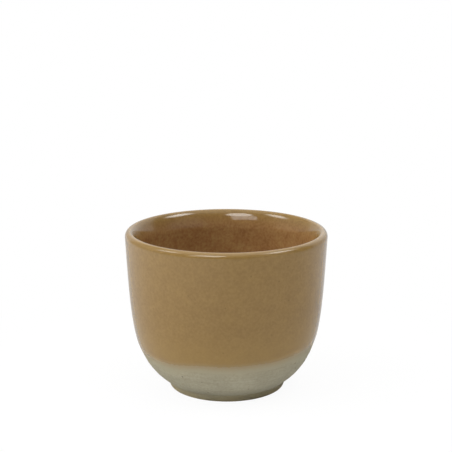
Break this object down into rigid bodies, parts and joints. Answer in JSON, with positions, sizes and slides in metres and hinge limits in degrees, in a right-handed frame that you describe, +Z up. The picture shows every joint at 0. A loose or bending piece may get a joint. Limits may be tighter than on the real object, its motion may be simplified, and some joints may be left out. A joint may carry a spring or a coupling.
{
  "type": "ceramic cup",
  "caption": "Handleless stoneware cup with a rounded belly and a low foot ring, ochre glaze inside and dipped over the lip, and a bare clay base below a slightly tilted dip line.",
  "frame": {"origin": "middle of the foot ring's base, on the table", "axes": "+Z up along the cup's axis, -Y towards the viewer of the picture, +X to the right, where the dip line is highest"},
  "size_m": [0.08, 0.08, 0.0635],
  "materials": {
    "bare_stoneware": "unglazed fired stoneware, matt grey-beige with fine iron specks and turning marks",
    "ochre_glaze": "glossy ochre-brown stoneware glaze, finely mottled, paler where it thins over the lip"
  },
  "bodies": {
    "root": {"stoneware_body": "bare_stoneware", "foot_ring": "bare_stoneware", "liner_glaze": "ochre_glaze", "dip_glaze": "ochre_glaze"}
  },
  "joints": []
}
